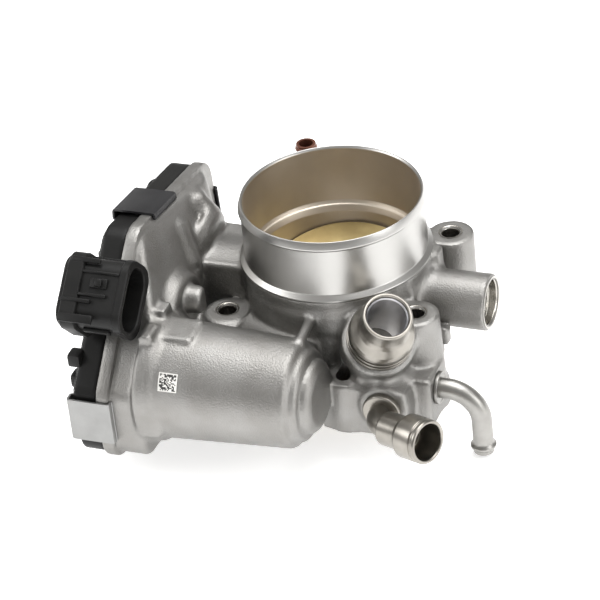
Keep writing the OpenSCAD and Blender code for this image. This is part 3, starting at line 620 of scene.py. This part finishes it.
for k in range(12):
    a = 2 * math.pi * k / 12
    p, q = (math.cos(a), math.sin(a)), (COVER_END - 4.0)
    cover = melt(cover, cast_bar(at, (q, 7 * p[0], SHAFT_Z + 7 * p[1]), (q, 17 * p[0], SHAFT_Z + 17 * p[1]), 0.8,
                                 ease=0.4), 0.7)
cover = melt(cover, cast_bar(at, (COVER_END - 4.6, 0, SHAFT_Z), (-72, 0, SHAFT_Z), 5.5, ease=0.8), 0.8)
for y in (-52, -44, -36, -28, -20):
    cover = melt(cover, cast_block(at, (COVER_END - 2.4, y - 0.7, 30 if y < -40 else 46), (-72, y + 0.7, 58), 0.5), 0.7)
cover = np.maximum(cover, X + 66.5)
cover = carve(cover, cast_slab(case_flat - 7.6, X, -60, -67.6, 0.1), 0.2)
verts, faces = skin(cover, LO, 0.7)
lid = new_piece("cover_shell", verts, faces, 35)
cut_with(lid, [outline_tool(CASE, 6.2, -73.5, -60),
               hole((-76.7, 0, SHAFT_Z), (-70, 0, SHAFT_Z), 16.0),
               hole((-76.3, *MOTOR), (-70, *MOTOR), 9.0),
               hole((-76.0, -31.9985, 31.3083), (-70, -31.9985, 31.3083), 2.5)], 35)
wear(lid, moulded, "housing", "black_moulding", "gear_cover")


def oval(w, h, r, n=12):
    """Corners of a rounded rectangle, w along y and h along x."""
    ring = []
    for cx, cy, a0 in ((1, 1, 0), (-1, 1, 90), (-1, -1, 180), (1, -1, 270)):
        for k in range(n + 1):
            a = math.radians(a0 + 90 * k / n)
            ring.append((cx * (h / 2 - r) + r * math.cos(a), cy * (w / 2 - r) + r * math.sin(a)))
    return ring


sections = [(18.4, 22.2, 14.6, 6.0), (18.4, 22.6, 15.0, 6.3), (0.7, 22.6, 15.0, 6.3), (0.15, 23.4, 15.8, 6.6),
            (0.0, 24.4, 16.8, 6.9), (0.0, 26.3, 20.3, 6.6), (0.35, 27.0, 21.0, 6.8), (2.7, 27.0, 21.0, 6.8),
            (3.0, 26.4, 20.4, 6.6), (3.1, 25.4, 19.4, 6.2), (16.9, 25.4, 19.4, 6.2), (17.1, 27.4, 21.0, 5.6),
            (17.4, 28.0, 21.6, 5.6), (22.6, 28.0, 21.6, 5.6), (23.0, 27.4, 21.0, 5.6), (23.1, 25.4, 19.4, 5.6),
            (24.3, 25.4, 19.4, 5.6), (24.7, 24.6, 18.6, 5.2)]
verts, faces = [], []
for z, w, h, r in sections:
    verts += [tuple(from_mouth(x, y, z)) for x, y in oval(w, h, r)]
m = len(oval(1, 1, 0.1))
for s in range(len(sections) - 1):
    faces += [(s * m + k, s * m + (k + 1) % m, (s + 1) * m + (k + 1) % m, (s + 1) * m + k) for k in range(m)]
faces.append(tuple(range(m))[::-1])
faces.append(tuple(range((len(sections) - 1) * m, len(sections) * m)))
shell = new_piece("connector_shell", verts, faces, 35)


def moulded_bars(name, bars, ease):
    """Bars on the connector, each between two corners in its measures, with rounded edges."""
    verts, faces = joined([box_tool(lo, hi) for lo, hi in bars])
    piece = new_piece(name, [tuple(from_mouth(*p)) for p in verts], faces)
    outward(piece)
    bevel = piece.modifiers.new("ease", "BEVEL")
    bevel.width, bevel.segments, bevel.limit_method = ease * MM, 3, "ANGLE"
    bpy.context.view_layer.update()
    piece.data = bpy.data.meshes.new_from_object(piece.evaluated_get(bpy.context.evaluated_depsgraph_get()))
    piece.modifiers.clear()
    soften(piece, 50)
    return piece


ribs = moulded_bars("connector_ribs", [((9.5, 9.6, 11), (10.8, 11.4, 22)), ((9.5, -2.4, 6.5), (10.9, -1.2, 17.2)),
                                       ((9.5, -4.9, 12), (11.2, -3.6, 24)), ((9.5, 0.8, 7), (10.6, 4.4, 13.5)),
                                       ((9.5, -12.4, 10), (10.9, -9.2, 23)), ((9.5, 6.0, 3), (10.4, 7.0, 24)),
                                       ((-10.9, -9, 4), (-9.5, -7, 20)), ((-10.9, 7, 4), (-9.5, 9, 20)),
                                       ((-3.0, 12.5, 4), (-1.0, 13.6, 20)), ((1.0, 12.5, 4), (3.0, 13.6, 20)),
                                       ((2, -13.9, 5), (5, -12.5, 15)), ((-15.6, -10.8, 13.9), (-7.8, 10.8, 22.2))],
                     0.35)
latch = moulded_bars("connector_latch", [((10.4, 1.2, 8.6), (12.0, 4.0, 11.4))], 0.5)
for piece in (shell, ribs, latch):
    wear(piece, moulded, "housing", "black_moulding")

# Teeth along the cover's front edge, one moulded block repeated at an even pitch.
tree = bpy.data.node_groups.new("even_teeth", "GeometryNodeTree")
for name, kind, value in (("Count", "NodeSocketInt", 3), ("Pitch", "NodeSocketVector", (0, 0, 0.009)),
                          ("Start", "NodeSocketVector", (0, 0, 0)), ("Size", "NodeSocketVector", (0.003, 0.006, 0.005)),
                          ("Crease", "NodeSocketFloat", 0.8), ("Finish", "NodeSocketMaterial", None)):
    socket = tree.interface.new_socket(name, in_out="INPUT", socket_type=kind)
    if value is not None:
        socket.default_value = value
tree.interface.new_socket("Geometry", in_out="OUTPUT", socket_type="NodeSocketGeometry")
give, take = tree.nodes.new("NodeGroupInput"), tree.nodes.new("NodeGroupOutput")
row = tree.nodes.new("GeometryNodeMeshLine")
block = tree.nodes.new("GeometryNodeMeshCube")
round_off = tree.nodes.new("GeometryNodeSubdivisionSurface")
round_off.inputs["Level"].default_value = 2
stand = tree.nodes.new("GeometryNodeInstanceOnPoints")
real = tree.nodes.new("GeometryNodeRealizeInstances")
paint = tree.nodes.new("GeometryNodeSetMaterial")
for a, b in ((give.outputs["Count"], row.inputs["Count"]), (give.outputs["Pitch"], row.inputs["Offset"]),
             (give.outputs["Start"], row.inputs["Start Location"]), (give.outputs["Size"], block.inputs["Size"]),
             (block.outputs["Mesh"], round_off.inputs["Mesh"]),
             (give.outputs["Crease"], round_off.inputs["Edge Crease"]),
             (row.outputs["Mesh"], stand.inputs["Points"]), (round_off.outputs["Mesh"], stand.inputs["Instance"]),
             (stand.outputs["Instances"], real.inputs["Geometry"]),
             (real.outputs["Geometry"], paint.inputs["Geometry"]),
             (give.outputs["Finish"], paint.inputs["Material"]), (paint.outputs["Geometry"], take.inputs["Geometry"])):
    tree.links.new(a, b)


def repeated(name, finish, **values):
    """A plain mesh made by the tree, with its inputs set by socket."""
    piece = bpy.data.objects.new(name, bpy.data.meshes.new(name))
    bpy.context.scene.collection.objects.link(piece)
    grow = piece.modifiers.new("repeat", "NODES")
    grow.node_group = tree
    for item in tree.interface.items_tree:
        if item.in_out == "INPUT" and item.name in values:
            grow[item.identifier] = values[item.name]
        elif item.in_out == "INPUT" and item.name == "Finish":
            grow[item.identifier] = finish
    bpy.context.view_layer.update()
    piece.data = bpy.data.meshes.new_from_object(piece.evaluated_get(bpy.context.evaluated_depsgraph_get()))
    piece.modifiers.clear()
    soften(piece, 60)
    return piece


teeth = repeated("cover_teeth", moulded, Count=3, Pitch=(0, 0, 0.009), Start=(-0.0767, -0.067, 0.0145),
                 Size=(0.0048, 0.0058, 0.0052), Crease=0.72)
wear(teeth, moulded, "housing", "black_moulding")
contacts = []
for i in (-1, 1):
    for j in (-1, 0, 1):
        a, b = from_mouth(3 * i, 6 * j, 7.2), from_mouth(3 * i, 6 * j, 18.4)
        profile = [(0, 0), (0.28, 0.1), (0.56, 1.2), (0.56, 11.1), (0, 11.1)]
        contacts.append(turned(profile, a, b - a, 8))
pins = new_piece("contacts", *joined(contacts), 30)
wear(pins, tin_bronze, "housing", "contact_alloy", "connector_pins")

# ---- 7. cover clips ----
# Spring steel strips, bent over the cover's rim and the case flange and sprung shut. Two are blackened.


def strip(name, corner, share, length):
    """One clip on the outline's edge after that corner, its middle at a share of the edge."""
    a, b = np.array(CASE[corner], float), np.array(CASE[(corner + 1) % len(CASE)], float)
    t = (b - a) / np.linalg.norm(b - a)
    o = np.array([t[1], -t[0]])
    p = a + (b - a) * share
    lo, hi = COVER_END - 1.7, -60.95
    path = [(lo + 1.0, 6.6), (lo, 7.2), (lo, 9.8), (lo + 0.22, 10.33), (lo + 0.75, 10.55), (hi - 0.75, 10.55),
            (hi - 0.22, 10.33), (hi, 9.8), (hi, 8.9), (hi + 0.3, 8.5)]
    pts = np.array(path)
    d = np.gradient(pts, axis=0)
    d /= np.linalg.norm(d, axis=1)[:, None]
    n = np.stack([-d[:, 1], d[:, 0]], 1)
    ring = np.concatenate([pts + n * 0.38, (pts - n * 0.38)[::-1]])
    verts, faces, m = [], [], len(ring)
    ends = [-length / 2, -length / 2 + 0.5, length / 2 - 0.5, length / 2]
    for s in ends:
        for x, h in ring:
            q = p + o * h + t * s
            verts.append((x, q[0], q[1]))
    for k in range(len(ends) - 1):
        faces += [(k * m + i, k * m + (i + 1) % m, (k + 1) * m + (i + 1) % m, (k + 1) * m + i) for i in range(m)]
    half = m // 2
    for k, flip in ((0, True), (len(ends) - 1, False)):
        for i in range(half - 1):
            f = (k * m + i, k * m + i + 1, k * m + m - 2 - i, k * m + m - 1 - i)
            faces.append(f[::-1] if flip else f)
    piece = new_piece(name, verts, faces, 40)
    outward(piece)
    return piece


bright_strip = turning_marks(surface_finish("bright_strip", (0.33, 0.33, 0.325), (0.28, 0.28, 0.275), 0.5, 0.4,
                                          0.1, spread=0.05), 0.25, 0.3, "X")
black_strip = surface_finish("blackened_strip", (0.026, 0.026, 0.028), (0.016, 0.016, 0.018), 0.36, 0.4, 0.15,
                           metallic=0.3)
for name, corner, share, length, finish, paint_slot in (
        ("clip_front", 2, 0.42, 17, bright_strip, "bright_clip"),
        ("clip_bottom", 3, 0.14, 14, bright_strip, "bright_clip"),
        ("clip_top", 0, 0.68, 20, black_strip, "dark_clip"),
        ("clip_back", 5, 0.5, 13, black_strip, "dark_clip"),
        ("clip_rear", 3, 0.8, 14, bright_strip, "bright_clip")):
    wear(strip(name + "_strip", corner, share, length), finish, "housing", paint_slot, name)

# ---- 8. vent nipple and coolant pipes ----
# Turned and bent fittings pressed into the casting: the nickel-plated vent nipple with its seal
# grooves, the elbow with its socket, the bent outlet tube, and the brown vacuum pipe at the back.
nickel = turning_marks(surface_finish("satin_nickel", (0.33, 0.312, 0.282), (0.26, 0.245, 0.22), 0.30, 0.5, 0.1,
                                    spread=0.05), 0.3, 0.2)
nipple_profile = [(7.4, -6), (9.95, -6), (9.95, 0.02), (11.9, 0.02), (11.9, 1.7), (10.6, 1.8), (10.6, 2.9),
                  (11.9, 3.0), (11.9, 4.1), (10.6, 4.2), (10.6, 5.3), (11.9, 5.4), (11.8, 7.2), (11.3, 8.8),
                  (10.4, 10.0), (9.4, 11.4), (8.7, 13.4), (8.4, 16), (8.3, 19), (8.9, 19.9), (8.95, 20.9),
                  (8.5, 21.5), (7.9, 21.5), (7.4, 20.7)]
nipple = new_piece("breather_nipple", *turned(eased(nipple_profile, 0.2), VENT_FOOT, VENT_WAY, 96), 30)
wear(nipple, nickel, "housing", "nickel_plate", "vent_nipple")
# the bright reamed bore inside the nipple, as a thin lining
liner_profile = [(7.0, -5.6), (7.38, -5.6), (7.38, 20.2), (7.0, 19.6)]
liner = new_piece("nipple_bore", *turned(liner_profile, VENT_FOOT, VENT_WAY, 72))
bright_bore = turning_marks(surface_finish("reamed_bore", (0.88, 0.88, 0.90), (0.78, 0.78, 0.80), 0.36, 0.5, 0.1),
                            0.3, 0.15)
wear(liner, bright_bore, "housing", "nickel_plate")


def bent_tube(name, points, outer, inner, steps=40, crease=30):
    """A hollow tube along points, with an outer radius at each and one inner radius, ends closed."""
    pts = np.array(points, float)
    d = np.gradient(pts, axis=0)
    d /= np.linalg.norm(d, axis=1)[:, None]
    u = square_frame(d[0])[:, 0]
    verts, rings = [], []
    frames = []
    for k in range(len(pts)):
        u = u - d[k] * (u @ d[k])
        u /= np.linalg.norm(u)
        frames.append((u, np.cross(d[k], u)))
    order = [(k, outer[k]) for k in range(len(pts))] + [(k, inner) for k in range(len(pts) - 1, -1, -1)]
    for k, r in order:
        a, b = frames[k]
        rings.append(len(verts))
        for s in range(steps):
            g = 2 * math.pi * s / steps
            verts.append(pts[k] + a * r * math.cos(g) + b * r * math.sin(g))
    faces = []
    for i in range(len(rings)):
        p, q = rings[i], rings[(i + 1) % len(rings)]
        faces += [(p + s, p + (s + 1) % steps, q + (s + 1) % steps, q + s) for s in range(steps)]
    return new_piece(name, verts, faces, crease)


def bend_path(foot, first, bend_r, deg, last, way, side, start=0.0, spacing=1.0):
    """Points straight along a way, round a bend towards a side, and straight on."""
    way, side, foot = np.array(way, float), np.array(side, float), np.array(foot, float)
    pts = [foot + way * s for s in np.linspace(start, first, max(2, int((first - start) / spacing)))]
    steps = max(6, int(deg / 6))
    for k in range(1, steps + 1):
        a = math.radians(deg * k / steps)
        pts.append(foot + way * (first + bend_r * math.sin(a)) + side * bend_r * (1 - math.cos(a)))
    a = math.radians(deg)
    on = way * math.cos(a) + side * math.sin(a)
    pts += [pts[-1] + on * s for s in np.linspace(0.3, last, max(2, int(last / spacing)))]
    return pts, on


# elbow: flange ring, thin bend, then a turned socket
tilt = math.radians(8)
elbow_side = np.array([math.cos(tilt), 0, math.sin(tilt)])
elbow_path, socket_way = bend_path(ELBOW_FOOT, 4, 7, 66, 2.5, (0, -1, 0), elbow_side, -4.9)
elbow_bend = bent_tube("elbow_bend", elbow_path, [4.12] * len(elbow_path), 3.0)
a = math.radians(66)
socket_foot = ELBOW_FOOT + np.array([0, -1, 0]) * (4 + 7 * math.sin(a)) + elbow_side * 7 * (1 - math.cos(a))
elbow_ring = new_piece("elbow_ring", *turned(eased([(3.9, 0.02), (7.1, 0.02), (7.1, 2.0), (6.6, 2.4), (3.9, 2.4)], 0.4),
                                             ELBOW_FOOT, (0, -1, 0), 72), 30)
socket_profile = [(3.2, 0.6), (4.6, 0.6), (6.0, 1.2), (6.2, 1.8), (6.2, 9.8), (8.0, 11.8), (8.0, 18.8), (7.45, 18.95),
                  (7.45, 19.75), (8.0, 19.9), (8.0, 21.0), (7.6, 21.4), (6.9, 21.4), (6.6, 21.0), (6.6, 11.0),
                  (4.9, 11.0),
                  (4.9, 3.0), (3.2, 3.0)]
elbow_socket = new_piece("elbow_socket", *turned(eased(socket_profile, 0.3), socket_foot, socket_way, 80), 30)
for piece in (elbow_bend, elbow_ring, elbow_socket):
    wear(piece, nickel, "housing", "nickel_plate", "coolant_elbow")

# outlet tube: shoulder ring, a quarter bend down, a bead near the end
tube_path, tube_way = bend_path(OUTLET_FOOT, 3.5, 12, 90, 13.3, (1, 0, 0), (0, 0, -1), -6, 0.6)
tube_len = np.concatenate([[0], np.cumsum(np.linalg.norm(np.diff(np.array(tube_path), axis=0), axis=1))])
bead_at = tube_len[-1] - 13.3 + 10.6
tube_r = [3.72 + 0.98 * math.exp(-((s - bead_at) / 1.0) ** 4) for s in tube_len]
outlet = bent_tube("outlet_pipe", tube_path, tube_r, 2.75, 48)
shoulder = new_piece("outlet_ring", *turned(eased([(3.6, 0.05), (6.0, 0.05), (6.0, 1.2), (5.4, 1.2), (5.2, 0.95),
                                                   (3.6, 0.95)], 0.25), OUTLET_FOOT, (1, 0, 0), 64), 30)
plated = surface_finish("plated_tube", (0.36, 0.352, 0.335), (0.29, 0.283, 0.268), 0.38, 0.5, 0.15, spread=0.05)
for piece in (outlet, shoulder):
    wear(piece, plated, "housing", "tube_steel", "outlet_tube")

# rear pipe: out of its boss, a quarter bend up, an end bead
REAR_FOOT = np.array([-26.5, 25, 45])
rear_path, rear_way = bend_path(REAR_FOOT, 10, 9, 90, 8.0, (0, 1, 0), (0, 0, 1), 0.0, 0.6)
rear_len = np.concatenate([[0], np.cumsum(np.linalg.norm(np.diff(np.array(rear_path), axis=0), axis=1))])
rear_r = [3.72 + 0.5 * math.exp(-((s - rear_len[-1] + 1.8) / 0.8) ** 4) + 1.4 * math.exp(-((s - 3.8) / 0.8) ** 4)
          for s in rear_len]
rear = bent_tube("vacuum_pipe", rear_path, rear_r, 2.75, 40)
brown = surface_finish("brown_passivation", (0.20, 0.075, 0.045), (0.13, 0.05, 0.03), 0.36, 0.4, 0.2, metallic=0.6)
wear(rear, brown, "housing", "brown_tube", "rear_pipe")

gallery = new_piece("gallery_cup", *turned(eased([(0, 5.05), (3.55, 5.05), (3.55, 12.0), (3.4, 12.3), (2.9, 12.3),
                                                  (2.75, 6.4), (2.2, 6.0), (0, 6.0)], 0.2), (15.4, -40.6, 0)), 30)
old_brass = surface_finish("aged_brass", (0.34, 0.22, 0.10), (0.20, 0.13, 0.06), 0.36, 0.4, 0.2)
wear(gallery, old_brass, "housing", "plug_alloy", "gallery_plug")

# ---- 9. floor, light and camera ----
# A plain pale sheet under the part, three broad soft lights and a long lens from the front right.
import mathutils
floor = new_piece("floor", [(-4000, -4000, -14.6), (4000, -4000, -14.6), (4000, 4000, -14.6), (-4000, 4000, -14.6)],
                  [(0, 1, 2, 3)])
paper = bpy.data.materials.new("white_paper")
paper.use_nodes = True
paper.node_tree.nodes["Principled BSDF"].inputs["Base Color"].default_value = (0.93, 0.93, 0.93, 1)
paper.node_tree.nodes["Principled BSDF"].inputs["Roughness"].default_value = 0.9
paper.node_tree.nodes["Principled BSDF"].inputs["Emission Color"].default_value = (1, 1, 1, 1)
paper.node_tree.nodes["Principled BSDF"].inputs["Emission Strength"].default_value = 0.6
floor.data.materials.append(paper)


def soft_light(name, place, aim, width, height, power):
    lamp = bpy.data.lights.new(name, "AREA")
    lamp.shape, lamp.size, lamp.size_y, lamp.energy = "RECTANGLE", width, height, power
    holder = bpy.data.objects.new(name, lamp)
    bpy.context.scene.collection.objects.link(holder)
    holder.location = place
    holder.rotation_euler = (mathutils.Vector(aim) - mathutils.Vector(place)).to_track_quat("-Z", "Y").to_euler()


soft_light("overhead", (0.1, 0.2, 1.5), (0, 0, 0), 1.6, 1.2, 30)
soft_light("left_bank", (-1.1, -0.6, 0.8), (0, 0, 0.03), 0.9, 0.5, 7)
soft_light("right_bank", (1.0, -0.2, 0.5), (0, 0, 0.03), 0.5, 0.8, 5)
world = bpy.data.worlds.new("studio")
world.use_nodes = True
world.node_tree.nodes["Background"].inputs["Color"].default_value = (1, 0.985, 0.96, 1)
world.node_tree.nodes["Background"].inputs["Strength"].default_value = 0.4
bpy.context.scene.world = world
bpy.context.scene.view_settings.view_transform = "Standard"

turn, rise, roll, reach = math.radians(22.7), math.radians(33.58), math.radians(5.92), 1.123
back = mathutils.Vector((math.sin(turn) * math.cos(rise), -math.cos(turn) * math.cos(rise), math.sin(rise)))
side = mathutils.Vector((math.cos(turn), math.sin(turn), 0))
up = back.cross(side)
across = math.cos(roll) * side - math.sin(roll) * up
upright = math.sin(roll) * side + math.cos(roll) * up
camera = bpy.data.objects.new("camera", bpy.data.cameras.new("camera"))
camera.data.sensor_width, camera.data.lens = 36, 183.2
camera.data.shift_x, camera.data.shift_y = -0.0703, 0.0018
camera.data.clip_start, camera.data.clip_end = 0.05, 20
frame_axes = mathutils.Matrix((across, upright, back)).transposed().to_4x4()
frame_axes.translation = mathutils.Vector((0, 0, 0.0234)) + back * reach
camera.matrix_world = frame_axes
bpy.context.scene.collection.objects.link(camera)
bpy.context.scene.camera = camera
